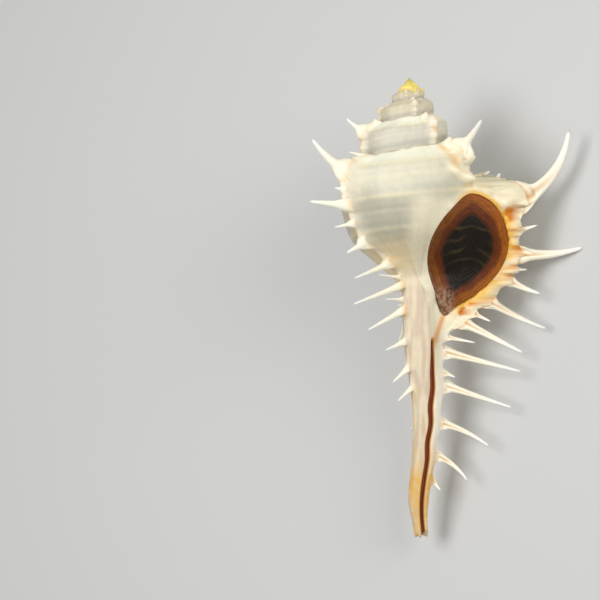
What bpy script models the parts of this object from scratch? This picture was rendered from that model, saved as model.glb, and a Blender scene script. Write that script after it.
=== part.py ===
"""A murex shell lying on its spines, opening upward, with the horny lid that closes the opening.

The shell is a tube wound round an axis. Its surface is a strip of faces that follows the growth of the
tube: one column of points for each growth angle, with every winding joined to the one before it along the
seam between them. Ribs, lip and canal are raised or sunk in that strip, and each spine is drawn out of a
block of its faces.

Lengths are millimetres in the shell's own frame: X points to the lip, Y to the tip of the spire and Z out
of the opening. Depth is the distance down the axis from the tip of the spire. A growth angle is in degrees,
0 at the lip and negative before it.
"""

import math

import bmesh
import bpy
import numpy as np
from mathutils import Matrix, Vector

METRES = 0.001

# How finely the strip is divided.
COLUMNS = 48
STEP = 360.0 / COLUMNS
SEAM_ROWS = (0.0, 0.06, 0.12, 0.2, 0.3, 0.44, 0.62, 0.8, 1.0)
CANAL_ROWS = 31
# A spine: where its rings lie, how thin it grows, by where it is round, how much its foot draws in, and
# how much wider and taller than its thickness the block of faces is that it grows from.
SPINE_RINGS = (0.1, 0.32, 0.66)
SPINE_TAPER = 0.8
SPINE_ROUND_BY = 0.3
SPINE_FOOT = 0.8
SPINE_BLOCK = (1.5, 1.3)
WIDEST_BLOCK = 6
# Slopes above this count as this steep where something is raised from the surface.
STEEPEST = 3

# How the tube grows. It starts five windings before the lip.
FIRST_ANGLE = -1800.0
LIP_AZIMUTH = 15.0
LENGTH = 91.8
SEAM_DEPTH_AT_LIP = 23.0
SEAM_GROWTH = 1.80
RADIUS_AT_LIP = 19.26
RADIUS_GROWTH = 1.53
RADIUS_LOSS = 0.8
# How far the seam climbs in its last degrees before the lip.
SEAM_CLIMB = 3.0
CLIMB_ANGLE = 60.0
# How smoothly a winding runs into the canal, in square millimetres.
NECK_BLEND = 0.4
# The height of the last winding, below its seam: growth angle, height.
HEIGHTS = ((-360, 24.8), (-280, 24.2), (-195, 24.0), (-112, 26.4), (0, 28.5))

# The outline of a winding: share of its height below the seam, share of its radius.
WINDING = (
    (0.0, 0.63), (0.06, 0.78), (0.13, 0.975), (0.2, 1.0), (0.35, 1.0), (0.47, 0.965), (0.56, 0.935),
    (0.69, 0.81), (0.77, 0.65), (0.84, 0.50), (0.92, 0.35), (1.0, 0.24), (1.12, 0.1), (1.3, 0.0),
)
# The axis leans a little: depth, X.
AXIS = (
    (0, -2.2), (8, -1.9), (16, -1.8), (34, -0.8), (54, 0.4), (60, 1.1), (66, 1.3), (73, 0.9), (79, 0.3),
    (85, -0.3), (92, 0.3),
)
# The canal: depth, radius.
CANAL = (
    (30, 0.0), (42, 3.0), (50, 3.4), (60, 3.3), (66, 2.8), (73, 2.4), (79, 2.2), (85, 1.9),
    (88.5, 1.5), (92, 1.25),
)

# The three ribs of the last winding, by growth angle: depth, height of the rib.
LIP_RIB = (
    (18, 0.0), (20, 0.3), (22, 1.1), (24, 2.7), (26, 3.1), (28, 3.0), (32, 2.8), (36, 2.6), (40, 2.1),
    (44, 1.4), (48, 1.0), (52, 0.7), (56, 0.3), (62, 0.1), (70, 0.0),
)
BACK_RIB = ((19, 0.6), (22, 1.9), (30, 2.3), (40, 1.9), (46, 1.3), (55, 0.8), (70, 0.5), (86, 0.0))
LEFT_RIB = ((16, 0.6), (19, 1.6), (26, 1.8), (30, 1.3), (34, 0.5), (40, 0.3), (50, 0.3), (60, 0.2), (68, 0.0))
RIB_SPACING = 112.5
LAST_RIBS = ((0.0, LIP_RIB), (-RIB_SPACING, BACK_RIB), (-2 * RIB_SPACING, LEFT_RIB))
OLD_RIBS = tuple(-RIB_SPACING * n for n in range(3, 14))
OLD_RIB_SHARE = 0.11
RIB_HALF_WIDTH = 2.6
RIB_LEAST_RADIUS = 6.0
# Half the width of an older rib: share of its winding's radius, and what is added to it.
OLD_RIB_WIDTH = (0.16, 0.25)

# The mouth lies between the lip and the inner lip, this many degrees further round.
MOUTH_ANGLE = 65.0
JUST_PAST_LIP = -359.99
MOUTH_RAMP = 2.5
MOUTH_FADE = ((19, 0.0), (23, 1.0), (54, 1.0), (62, 0.0))
# The smooth inner lip: depth, azimuth of its outer edge.
INNER_LIP_EDGE = ((24, 97), (39, 96), (42, 84), (45, 66), (47.5, 48))
INNER_LIP_HEIGHT = 0.55
INNER_LIP_ENDS = (22, 48)
INNER_LIP_END_FADE = 4
# In degrees past the lip: where it is whole, how wide its outer edge is and how far it can reach.
INNER_LIP_START = 20
INNER_LIP_EDGE_WIDTH = 7
INNER_LIP_REACH = 200
# The open slit of the canal: depth, azimuth.
SLIT = (
    (46, 38), (51, 41), (55, 50), (59, 63), (62, 65), (66, 75), (69, 67), (73, 77), (76.6, 66), (80, 71),
    (85, 66), (92, 60),
)
SLIT_DEPTH = 1.3
SLIT_HALF_ANGLE = 7.5
SLIT_TOP = 46.5
SLIT_RAMP = 1.5
SLIT_MOST_SHARE = 0.6
# The column of points that runs along the slit, and how far round and how high up others are drawn to it.
SLIT_COLUMN = 7
SLIT_PULL_WIDTH = 35
SLIT_PULL_TOP = 40
SLIT_PULL_RAMP = 6

# The outline of the opening: X, depth.
MOUTH = (
    (9.3, 23.5), (13.5, 24.9), (16.2, 28.6), (17.2, 32.8), (16.6, 36.6), (14.2, 40.4), (10.4, 43.6),
    (6.8, 45.8), (4.7, 47.4), (2.9, 43.2), (1.3, 37.9), (1.4, 33.7), (2.8, 30.2), (5.2, 27.0),
)
MOUTH_ABOVE = 40.0
MOUTH_NARROW = 0.9
MOUTH_FLOOR = -5.0
MOUTH_TAPER = 0.62
LID_GAP = 0.35
LID_THICKNESS = 0.9
LID_SINK = 0.9
LID_BOWL = 0.5
LID_RINGS = (1.0, 0.8, 0.45)
# The space behind the lid: how far below the lid it stays wide, and the depth of the step below that.
CLEAR_OF_LID = 0.4
STEP_DOWN = 1.5

# The spines. Each row is the degrees off the rib, the depth of the base, the tip's X, depth and Z, the bow
# toward the canal and the thickness.
LIP_SPINES = (
    (0, 20.9, 13.6, 18.9, 5.0, 0.0, 1.3),
    (0, 22.3, 15.6, 19.3, 5.0, 0.0, 1.1),
    (0, 25.8, 29.2, 10.6, 5.0, 2.8, 3.3),
    (0, 30.4, 23.0, 29.6, 6.0, 0.0, 1.1),
    (0, 34.8, 31.9, 34.0, 6.0, 0.8, 2.6),
    (0, 37.8, 20.8, 38.4, 7.2, 0.0, 1.0),
    (0, 39.4, 23.5, 43.2, 6.5, 0.3, 1.7),
    (0, 43.4, 24.7, 50.1, 6.5, 0.4, 1.7),
    (0, 46.2, 13.8, 48.7, 5.0, 0.0, 1.0),
    (0, 48.0, 20.1, 54.9, 6.5, 0.0, 1.8),
    (0, 51.8, 10.9, 52.9, 4.0, 0.0, 0.9),
    (0, 55.3, 19.9, 58.6, 6.5, 0.0, 1.6),
    (0, 59.0, 7.0, 59.8, 2.5, 0.0, 0.9),
    (0, 62.1, 18.0, 65.7, 6.0, 0.0, 1.5),
    (0, 69.4, 13.6, 73.5, 4.5, -0.6, 1.4),
    (0, 75.8, 9.4, 80.5, 3.0, -0.7, 1.3),
    (0, 80.4, 4.1, 82.5, 1.5, 0.0, 0.9),
)
BACK_SPINES = (
    (0, 23.4, -5.6, 18.9, -30.0, 0.6, 1.9),
    (18, 22.0, 4.2, 18.5, -21.2, 0.0, 1.0),
    (0, 28.2, -2.6, 27.6, -22.6, 0.0, 1.2),
    (0, 33.9, -6.2, 33.9, -21.8, 0.3, 1.5),
    (0, 38.5, 0.6, 38.3, -19.2, 0.0, 1.1),
    (0, 44.5, -4.0, 45.5, -13.2, 0.0, 1.1),
    (-30, 48.7, -4.3, 54.9, -17.0, 0.5, 1.3),
    (-30, 55.3, -2.8, 59.7, -16.0, 0.5, 1.2),
    (-30, 61.9, -0.9, 66.7, -15.0, 0.5, 1.2),
    (-30, 68.3, -1.6, 71.1, -9.5, 0.3, 1.0),
    (22, 52.9, 1.4, 53.5, -6.4, 0.0, 0.8),
    (22, 58.7, 3.8, 58.5, -6.6, 0.0, 0.8),
    (22, 64.9, 2.8, 64.5, -5.0, 0.0, 0.8),
)
LEFT_SPINES = (
    (0, 16.9, -14.5, 15.2, 6.4, 0.0, 0.9),
    (0, 19.7, -21.7, 12.7, 9.0, 0.6, 2.3),
    (0, 22.6, -17.3, 22.4, 8.6, 0.0, 0.9),
    (0, 25.7, -22.2, 25.1, 9.6, 0.0, 1.9),
    (0, 29.0, -17.4, 30.2, 8.8, 0.0, 1.0),
    (0, 32.4, -14.9, 35.2, 8.8, 0.0, 1.6),
    (0, 36.6, -13.4, 40.2, 7.8, 0.0, 1.3),
    (0, 39.4, -8.6, 39.4, 5.4, 0.0, 0.7),
    (0, 41.2, -13.6, 45.3, 7.0, 0.0, 1.4),
    (0, 44.4, -7.2, 44.2, 4.4, 0.0, 0.7),
    (0, 46.6, -10.7, 50.4, 6.0, 0.0, 1.3),
    (0, 52.4, -7.2, 54.4, 4.2, 0.0, 1.1),
    (0, 57.8, -5.8, 61.0, 3.2, 0.0, 1.1),
    (0, 62.0, -4.7, 64.7, 2.4, 0.0, 1.0),
)
OLD_SPINES = (
    (-3 * RIB_SPACING, (0, 15.6, 11.3, 9.3, 12.6, 0.4, 2.0)),
    (-4 * RIB_SPACING, (0, 13.3, 1.6, 8.6, -15.4, 0.3, 1.2)),
    (-5 * RIB_SPACING, (0, 11.2, -14.9, 8.0, 1.6, 0.3, 1.2)),
)
# The tips that the shell rests on.
FEET = (BACK_SPINES[0], BACK_SPINES[8], LIP_SPINES[4])

SHELL_COLOUR = (0.80, 0.74, 0.62, 1.0)
LID_COLOUR = (0.09, 0.035, 0.012, 1.0)


def along(points, x):
    """A smooth curve through the points, read at x."""
    xs, ys = np.array(points, float).T
    slopes = np.gradient(ys, xs)
    x = np.clip(x, xs[0], xs[-1])
    low = np.clip(np.searchsorted(xs, x) - 1, 0, len(xs) - 2)
    width = xs[low + 1] - xs[low]
    u = (x - xs[low]) / width
    return (
        (1 + 2 * u) * (1 - u) ** 2 * ys[low]
        + u * (1 - u) ** 2 * width * slopes[low]
        + u ** 2 * (3 - 2 * u) * ys[low + 1]
        + u ** 2 * (u - 1) * width * slopes[low + 1]
    )


def ease(x):
    """0 up to x = 0, 1 from x = 1, and smooth between."""
    x = np.clip(x, 0.0, 1.0)
    return x * x * (3 - 2 * x)


def plain_seam(angle):
    return SEAM_DEPTH_AT_LIP * SEAM_GROWTH ** (angle / 360)


def climb(angle):
    return SEAM_CLIMB * ease(1 - np.abs(angle) / CLIMB_ANGLE)


def seam_depth(angle):
    return plain_seam(angle) - climb(angle)


def winding_radius(angle):
    return RADIUS_AT_LIP * RADIUS_GROWTH ** (angle / 360) - RADIUS_LOSS


def winding_height(angle):
    seen_share = (plain_seam(0.0) - plain_seam(-360.0)) / HEIGHTS[0][1]
    spire = (plain_seam(angle + 360) - plain_seam(angle)) / seen_share
    return np.where(angle < -360, spire, along(HEIGHTS, angle) + climb(angle))


def plain_radius(angle, depth):
    """Distance from the axis to the surface without ribs: the winding, or the canal where that is wider."""
    share = (depth - seam_depth(angle)) / winding_height(angle)
    body = winding_radius(angle) * along(WINDING, share)
    canal = along(CANAL, depth)
    return 0.5 * (body + canal + np.sqrt((body - canal) ** 2 + NECK_BLEND))


def rib_height(angle, depth, radius):
    height = np.zeros_like(radius)
    for rib_angle, heights in LAST_RIBS:
        away = np.radians(angle - rib_angle) * np.maximum(radius, RIB_LEAST_RADIUS) / RIB_HALF_WIDTH
        off_seam = ease(depth - seam_depth(rib_angle))
        height = height + along(heights, depth) * ease(1 - np.abs(away)) * off_seam
    for rib_angle in OLD_RIBS:
        scale = winding_radius(rib_angle)
        away = np.radians(angle - rib_angle) * scale / (OLD_RIB_WIDTH[0] * scale + OLD_RIB_WIDTH[1])
        fade = ease((seam_depth(rib_angle + 360) + 1.0 - depth) / 2.0)
        height = height + OLD_RIB_SHARE * scale * ease(1 - np.abs(away)) * fade
    return height


def mouth_face(angle, depth):
    """Distance from the axis to the straight face between the lip and the inner lip."""
    lip = plain_radius(np.zeros_like(depth), depth)
    lip = lip + rib_height(np.zeros_like(depth), depth, lip)
    inner = plain_radius(np.full_like(depth, MOUTH_ANGLE - 360), depth)
    round_it = np.radians(angle + 360)
    whole = math.radians(MOUTH_ANGLE)
    return np.sin(whole) / (np.sin(whole - round_it) / lip + np.sin(round_it) / inner)


def surface(angle, depth):
    """The points of the shell's surface, without spines, at these growth angles and depths."""
    radius = plain_radius(angle, depth)
    slope = (plain_radius(angle, depth + 0.1) - plain_radius(angle, depth - 0.1)) / 0.2
    in_mouth = (angle < MOUTH_ANGLE - 360) & (angle > -360) & (depth > seam_depth(angle + 360))
    ramp = ease((depth - seam_depth(angle + 360)) / MOUTH_RAMP) * np.clip(along(MOUTH_FADE, depth), 0.0, 1.0)
    share = np.where(in_mouth, ramp, 0.0)
    face = mouth_face(np.clip(angle, -360, MOUTH_ANGLE - 360), depth)
    lift = rib_height(angle, depth, radius) * (1 - share)
    radius = radius + (face - radius) * share
    slope = np.clip(slope, -STEEPEST, STEEPEST) * (1 - share)

    azimuth = LIP_AZIMUTH + angle
    past_lip = angle + 360
    edge = along(INNER_LIP_EDGE, depth) - LIP_AZIMUTH
    on_inner_lip = (past_lip >= 0) & (past_lip < INNER_LIP_REACH)
    top, low = INNER_LIP_ENDS
    fade = ease((depth - top) / INNER_LIP_END_FADE) * ease((low - depth) / INNER_LIP_END_FADE)
    fade = fade * ease(past_lip / INNER_LIP_START) * ease((edge - past_lip) / INNER_LIP_EDGE_WIDTH)
    lift = lift + np.where(on_inner_lip, INNER_LIP_HEIGHT * fade, 0.0)

    middle = LIP_AZIMUTH + SLIT_COLUMN * STEP
    off_slit = past_lip + LIP_AZIMUTH - middle
    pull = np.exp(-((off_slit / SLIT_PULL_WIDTH) ** 2)) * (past_lip > 0)
    pull = pull * ease((depth - SLIT_PULL_TOP) / SLIT_PULL_RAMP)
    azimuth = azimuth + (along(SLIT, depth) - middle) * pull
    open_slit = ease(1 - np.abs(off_slit) / SLIT_HALF_ANGLE) * ease((depth - SLIT_TOP) / SLIT_RAMP)
    lift = lift - np.minimum(SLIT_DEPTH, SLIT_MOST_SHARE * radius) * open_slit

    steep = np.sqrt(1 + slope ** 2)
    radius = radius + lift / steep
    depth = depth - lift * slope / steep
    turn = np.radians(azimuth)
    return np.stack([along(AXIS, depth) + radius * np.cos(turn), -depth, radius * np.sin(turn)], axis=-1)


class Strip:
    """The spiral strip of faces, by column and row, and the points that spines and ends add to it."""

    def __init__(self):
        self.points = []
        self.index = {}
        self.blocks = {}
        self.faces = []
        self.last = round(-FIRST_ANGLE / STEP)
        self.seam_row = len(SEAM_ROWS) - 1
        self.end_row = self.seam_row + CANAL_ROWS
        self.first_open = self.last - COLUMNS + 1
        self.lay_points()
        self.lay_faces()

    def add(self, point):
        self.points.append(np.asarray(point, float))
        return len(self.points) - 1

    def angle(self, column):
        return FIRST_ANGLE + column * STEP

    def depths(self, column):
        """The depth of each row of a column, from seam to seam and, past the last, to the canal's end."""
        top = seam_depth(self.angle(column))
        seam = seam_depth(self.angle(column) + 360)
        rows = [top + (seam - top) * share for share in SEAM_ROWS]
        if column >= self.first_open:
            rows += [seam + (LENGTH - seam) * (n + 1) / CANAL_ROWS for n in range(CANAL_ROWS)]
        return np.array(rows)

    def lay_points(self):
        for column in range(self.last + 1):
            depths = self.depths(column)
            angles = np.full_like(depths, self.angle(column))
            for row, point in enumerate(surface(angles, depths)):
                joined = row == self.seam_row and column < self.first_open
                if not joined:
                    self.index[column, row] = self.add(point)
        for column in range(self.first_open):
            self.index[column, self.seam_row] = self.index[column + COLUMNS, 0]

    def lay_faces(self):
        for column in range(self.last):
            rows = self.end_row if column >= self.first_open else self.seam_row
            for row in range(rows):
                self.blocks[column, row] = [
                    self.index[column, row],
                    self.index[column + 1, row],
                    self.index[column + 1, row + 1],
                    self.index[column, row + 1],
                ]
        self.zip_mouth()
        self.close_canal()
        self.close_spire()

    def zip_mouth(self):
        """Joins the lip to the first column past it, which has fewer rows."""
        lip = [self.index[self.last, row] for row in range(self.end_row + 1)]
        inner = [self.index[self.first_open, row] for row in range(self.seam_row, self.end_row + 1)]
        here, there = 0, 0
        while here < len(lip) - 1 or there < len(inner) - 1:
            step_lip = there == len(inner) - 1
            if not step_lip and here < len(lip) - 1:
                step_lip = self.points[lip[here + 1]][1] > self.points[inner[there + 1]][1]
            if step_lip:
                self.faces.append([lip[here], inner[there], lip[here + 1]])
                here += 1
            else:
                self.faces.append([lip[here], inner[there], inner[there + 1]])
                there += 1

    def close_canal(self):
        ring = [self.index[column, self.end_row] for column in range(self.first_open, self.last + 1)]
        middle = self.add(np.mean([self.points[n] for n in ring], axis=0))
        for n, corner in enumerate(ring):
            self.faces.append([corner, ring[(n + 1) % len(ring)], middle])

    def close_spire(self):
        ring = [self.index[column, 0] for column in range(COLUMNS + 1)]
        ring += [self.index[0, row] for row in range(self.seam_row - 1, 0, -1)]
        tip = self.add((along(AXIS, 0.0), 0.0, 0.0))
        for n, corner in enumerate(ring):
            self.faces.append([ring[(n + 1) % len(ring)], corner, tip])

    def block_for(self, rib_angle, base_depth, thickness):
        """The columns and rows of faces that a spine of this thickness grows from."""
        column = min(round((rib_angle - FIRST_ANGLE) / STEP), self.last)
        depths = self.depths(column)
        middle = self.points[self.index[column, int(np.abs(depths - base_depth).argmin())]]
        round_it = math.hypot(middle[0] - along(AXIS, base_depth), middle[2])
        wide = max(1, round(SPINE_BLOCK[0] * thickness / (math.radians(STEP) * round_it)))
        wide = min(wide, WIDEST_BLOCK)
        first = column - wide if column == self.last else column - (wide + 1) // 2
        off_base = np.abs((depths[:-1] + depths[1:]) / 2 - base_depth)
        row = int(off_base.argmin())
        tall = max(1, round(SPINE_BLOCK[1] * thickness / (depths[row + 1] - depths[row])))
        top = row - (tall - 1) // 2
        if self.is_free(first, wide, top, tall):
            return first, wide, top, tall
        for row in np.argsort(off_base):
            if self.is_free(first, wide, int(row), 1):
                return first, wide, int(row), 1
        raise ValueError("no room for the spine at depth %.1f" % base_depth)

    def is_free(self, first, wide, top, tall):
        """Whether every face of the block is still there to grow a spine from."""
        block = [(first + n, top + m) for n in range(wide) for m in range(tall)]
        return all(face in self.blocks for face in block)

    def grow_spine(self, rib_angle, spine):
        off_rib, base_depth, tip_x, tip_depth, tip_z, bow, thickness = spine
        first, wide, top, tall = self.block_for(rib_angle + off_rib, base_depth, thickness)
        for column in range(first, first + wide):
            for row in range(top, top + tall):
                del self.blocks[column, row]
        loop = [self.index[first, top + n] for n in range(tall)]
        loop += [self.index[first + n, top + tall] for n in range(wide)]
        loop += [self.index[first + wide, top + tall - n] for n in range(tall)]
        loop += [self.index[first + wide - n, top] for n in range(wide)]
        self.draw_out(loop, np.array((tip_x, -tip_depth, tip_z)), bow, thickness)

    def draw_out(self, loop, tip, bow, thickness):
        """Draws the loop of points out to the tip through rings that turn round and grow thin."""
        corners = np.array([self.points[n] for n in loop])
        base = corners.mean(axis=0)
        chord = tip - base
        length = np.linalg.norm(chord)
        chord = chord / length
        down = np.array((0.0, -1.0, 0.0))
        sag = down - chord * (down @ chord)
        sag = sag / np.linalg.norm(sag)
        side = np.cross(chord, sag)
        bend = (base + tip) / 2 + 2 * bow * sag
        before = list(loop)
        for share in SPINE_RINGS:
            centre = (1 - share) ** 2 * base + 2 * share * (1 - share) * bend + share ** 2 * tip
            tangent = (1 - share) * (bend - base) + share * (tip - bend)
            tangent = tangent / np.linalg.norm(tangent)
            across = np.cross(side, tangent)
            radius = 0.5 * thickness * (1 - share) ** SPINE_TAPER
            turned = ease(share / SPINE_ROUND_BY)
            ring = []
            for corner in corners - base:
                flat = corner - tangent * (corner @ tangent)
                heading = math.atan2(flat @ side, flat @ across)
                circle = radius * (math.cos(heading) * across + math.sin(heading) * side)
                ring.append(self.add(centre + (1 - turned) * SPINE_FOOT * corner + turned * circle))
            self.join_rings(before, ring)
            before = ring
        point = self.add(tip)
        for n, corner in enumerate(before):
            self.faces.append([corner, before[(n + 1) % len(before)], point])

    def join_rings(self, inner, outer):
        for n in range(len(inner)):
            after = (n + 1) % len(inner)
            self.faces.append([inner[n], inner[after], outer[after], outer[n]])


def mesh_object(name, points, faces, colour, roughness):
    """An object of these points and faces, its faces turned outward, with a material of its own."""
    mesh = bpy.data.meshes.new(name)
    mesh.from_pydata([Vector(point) * METRES for point in points], [], faces)
    shape = bmesh.new()
    shape.from_mesh(mesh)
    bmesh.ops.triangulate(shape, faces=shape.faces[:])
    bmesh.ops.recalc_face_normals(shape, faces=shape.faces[:])
    shape.to_mesh(mesh)
    shape.free()
    material = bpy.data.materials.new(name)
    material.use_nodes = True
    finish = material.node_tree.nodes["Principled BSDF"]
    finish.inputs["Base Color"].default_value = colour
    finish.inputs["Roughness"].default_value = roughness
    mesh.materials.append(material)
    made = bpy.data.objects.new(name, mesh)
    bpy.context.scene.collection.objects.link(made)
    return made


def face_height(x, depth):
    """Z of the face across the mouth at this X and depth."""
    depth = np.array([float(depth)])
    ends = []
    for angle in (JUST_PAST_LIP, MOUTH_ANGLE - 360):
        radius = mouth_face(np.array([angle]), depth)[0]
        turn = math.radians(LIP_AZIMUTH + angle)
        ends.append((along(AXIS, depth)[0] + radius * math.cos(turn), radius * math.sin(turn)))
    (lip_x, lip_z), (inner_x, inner_z) = ends
    return lip_z + (inner_z - lip_z) * (x - lip_x) / (inner_x - lip_x)


def inset(outline, gap):
    """The outline moved inward by the gap."""
    outline = np.array(outline)
    middle = outline.mean(axis=0)
    before = np.roll(outline, 1, axis=0)
    after = np.roll(outline, -1, axis=0)
    run = after - before
    normal = np.stack([-run[:, 1], run[:, 0]], axis=1)
    normal = normal / np.linalg.norm(normal, axis=1)[:, None]
    inward = np.sign(((middle - outline) * normal).sum(axis=1))
    return outline + gap * normal * inward[:, None]


def smooth_outline(outline, times):
    """The closed outline with this many points for each of its own, on a smooth curve through them."""
    outline = np.array(outline)
    smooth = []
    for n in range(len(outline)):
        a, b, c, d = (outline[(n + k) % len(outline)] for k in (-1, 0, 1, 2))
        for step in range(times):
            u = step / times
            square = (2 * a - 5 * b + 4 * c - d) * u ** 2
            cube = (3 * b - a - 3 * c + d) * u ** 3
            smooth.append(0.5 * (2 * b + (c - a) * u + square + cube))
    return np.array(smooth)


def make_mouth_cutter():
    """The space behind the opening: straight down from above, then narrower to its floor."""
    outline = smooth_outline(MOUTH, 2)
    middle = outline.mean(axis=0)
    under_lid = [face_height(x, depth) - LID_SINK - LID_THICKNESS - CLEAR_OF_LID for x, depth in outline]
    rings = []
    for scale, heights in (
        (1.0, [MOUTH_ABOVE] * len(outline)),
        (1.0, under_lid),
        (MOUTH_NARROW, [height - STEP_DOWN for height in under_lid]),
        (MOUTH_TAPER, [MOUTH_FLOOR] * len(outline)),
    ):
        ring = middle + (outline - middle) * scale
        rings.append([(x, -depth, height) for (x, depth), height in zip(ring, heights)])
    points = [point for ring in rings for point in ring]
    count = len(outline)
    faces = [list(range(count)), list(range(3 * count, 4 * count))[::-1]]
    for level in range(3):
        for n in range(count):
            low, high = level * count + n, level * count + (n + 1) % count
            faces.append([low, high, high + count, low + count])
    cutter = mesh_object("mouth cutter", points, faces, LID_COLOUR, 0.5)
    cutter.hide_render = True
    cutter.display_type = "WIRE"
    return cutter


def make_lid():
    """The lid: a thin plate with a low middle, sunk behind the mouth face."""
    outline = inset(smooth_outline(MOUTH, 2), LID_GAP)
    middle = outline.mean(axis=0)
    points, faces = [], []
    levels = (0.0, LID_THICKNESS)
    count = len(outline)
    for sink in levels:
        for scale in LID_RINGS:
            for x, depth in middle + (outline - middle) * scale:
                bowl = LID_BOWL * (1 - scale ** 2)
                points.append((x, -depth, face_height(x, depth) - LID_SINK - sink - bowl))
        x, depth = middle
        points.append((x, -depth, face_height(x, depth) - LID_SINK - sink - LID_BOWL))
    per_level = count * len(LID_RINGS) + 1
    for level in range(2):
        start = level * per_level
        for ring in range(len(LID_RINGS) - 1):
            for n in range(count):
                a = start + ring * count + n
                b = start + ring * count + (n + 1) % count
                faces.append([a, b, b + count, a + count])
        for n in range(count):
            a = start + (len(LID_RINGS) - 1) * count + n
            b = start + (len(LID_RINGS) - 1) * count + (n + 1) % count
            faces.append([a, b, start + per_level - 1])
    for n in range(count):
        after = (n + 1) % count
        faces.append([n, after, after + per_level, n + per_level])
    return mesh_object("operculum", points, faces, LID_COLOUR, 0.45)


def make_shell():
    strip = Strip()
    rows = [(0.0, spine) for spine in LIP_SPINES]
    rows += [(-RIB_SPACING, spine) for spine in BACK_SPINES]
    rows += [(-2 * RIB_SPACING, spine) for spine in LEFT_SPINES]
    rows += list(OLD_SPINES)
    for rib_angle, spine in rows:
        strip.grow_spine(rib_angle, spine)
    faces = list(strip.blocks.values()) + strip.faces
    shell = mesh_object("shell", strip.points, faces, SHELL_COLOUR, 0.5)
    cut = shell.modifiers.new("mouth", "BOOLEAN")
    cut.operation = "DIFFERENCE"
    cut.solver = "EXACT"
    cut.object = make_mouth_cutter()
    return shell


def resting_pose(shell):
    """Turns the three feet down onto the ground and centres the shell over the origin."""
    feet = [Vector((spine[2], -spine[3], spine[4])) for spine in FEET]
    up = (feet[1] - feet[0]).cross(feet[2] - feet[0]).normalized()
    if up.z < 0:
        up = -up
    along_y = (Vector((0, 1, 0)) - up * up.y).normalized()
    across = along_y.cross(up)
    turn = Matrix((across, along_y, up)).to_4x4()
    turned = [turn @ vertex.co for vertex in shell.data.vertices]
    low = [min(point[k] for point in turned) for k in range(3)]
    high = [max(point[k] for point in turned) for k in range(3)]
    shift = Matrix.Translation((-(low[0] + high[0]) / 2, -(low[1] + high[1]) / 2, -low[2]))
    return shift @ turn


def main():
    for thing in list(bpy.data.objects):
        bpy.data.objects.remove(thing)
    shell = make_shell()
    lid = make_lid()
    pose = resting_pose(shell)
    for thing in (shell, lid, bpy.data.objects["mouth cutter"]):
        thing.matrix_world = pose


main()
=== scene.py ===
"""The looks of a murex shell that lies on its spines, with the horny lid in its opening.

The shell's surface is a strip of faces that follows the growth of the tube, as in the part's own solid but
much finer: it adds the raised cords, the folds and knobs of the ribs, the growth lines, the worn tip, the
crimped lip and the grooved spines. Lengths are millimetres in the shell's own frame: X points to the lip,
Y to the tip of the spire and Z out of the opening. Depth is the distance down the axis from the tip, and a
growth angle is in degrees, 0 at the lip and negative before it.
"""

import math
from types import SimpleNamespace

import bmesh
import bpy
import numpy as np
from mathutils import Matrix, Vector, noise
from mathutils.kdtree import KDTree


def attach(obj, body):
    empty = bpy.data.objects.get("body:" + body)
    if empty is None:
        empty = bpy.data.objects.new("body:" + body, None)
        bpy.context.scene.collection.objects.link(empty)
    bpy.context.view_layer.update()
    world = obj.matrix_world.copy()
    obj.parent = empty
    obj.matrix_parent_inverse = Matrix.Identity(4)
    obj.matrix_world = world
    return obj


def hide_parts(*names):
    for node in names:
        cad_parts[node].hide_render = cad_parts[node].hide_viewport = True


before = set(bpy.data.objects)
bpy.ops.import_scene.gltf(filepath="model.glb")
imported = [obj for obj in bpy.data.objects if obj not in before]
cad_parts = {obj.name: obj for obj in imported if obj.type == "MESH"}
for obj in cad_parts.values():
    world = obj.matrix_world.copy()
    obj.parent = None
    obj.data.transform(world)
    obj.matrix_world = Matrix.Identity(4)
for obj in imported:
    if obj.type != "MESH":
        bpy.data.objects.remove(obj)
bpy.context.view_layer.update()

METRES = 0.001

# How finely the strip is divided.
COLUMNS = 192
STEP = 360.0 / COLUMNS
SEAM_ROWS = 34
BASE_ROWS = 56
CANAL_ROWS = 120

# How the tube grows. It starts five windings before the lip.
FIRST_ANGLE = -1800.0
LIP_AZIMUTH = 15.0
LENGTH = 91.8
SEAM_DEPTH_AT_LIP = 23.0
SEAM_GROWTH = 1.80
RADIUS_AT_LIP = 19.26
RADIUS_GROWTH = 1.53
RADIUS_LOSS = 0.8
# How far the seam climbs in its last degrees before the lip.
SEAM_CLIMB = 3.0
CLIMB_ANGLE = 60.0
# How smoothly a winding runs into the canal, in square millimetres.
NECK_BLEND = 0.4
# The ragged end of the canal: how much shorter its wall on the lip's side is, up to which growth angle and
# over how many degrees that ends, and the depth and number of its teeth.
END_NOTCH = 0.9
NOTCH_ANGLE = -300
NOTCH_RAMP = 12
TEETH_DEPTH = 0.35
TEETH = 7
# Slopes above this count as this steep where something is raised from the surface.
STEEPEST = 3
# The height of the last winding, below its seam: growth angle, height.
HEIGHTS = ((-360, 24.8), (-280, 24.2), (-195, 24.0), (-112, 26.4), (0, 28.5))

# The outline of a winding: share of its height below the seam, share of its radius.
WINDING = (
    (0.0, 0.63), (0.06, 0.78), (0.13, 0.975), (0.2, 1.0), (0.35, 1.0), (0.47, 0.965), (0.56, 0.935),
    (0.69, 0.81), (0.77, 0.65), (0.84, 0.50), (0.92, 0.35), (1.0, 0.24), (1.12, 0.1), (1.3, 0.0),
)
# The axis leans a little: depth, X.
AXIS = (
    (0, -2.2), (8, -1.9), (16, -1.8), (34, -0.8), (54, 0.4), (60, 1.1), (66, 1.3), (73, 0.9), (79, 0.3),
    (85, -0.3), (92, 0.3),
)
# The canal: depth, radius.
CANAL = (
    (30, 0.0), (42, 3.0), (50, 3.4), (60, 3.3), (66, 2.8), (73, 2.4), (79, 2.2), (85, 1.9),
    (88.5, 1.5), (92, 1.25),
)

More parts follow.
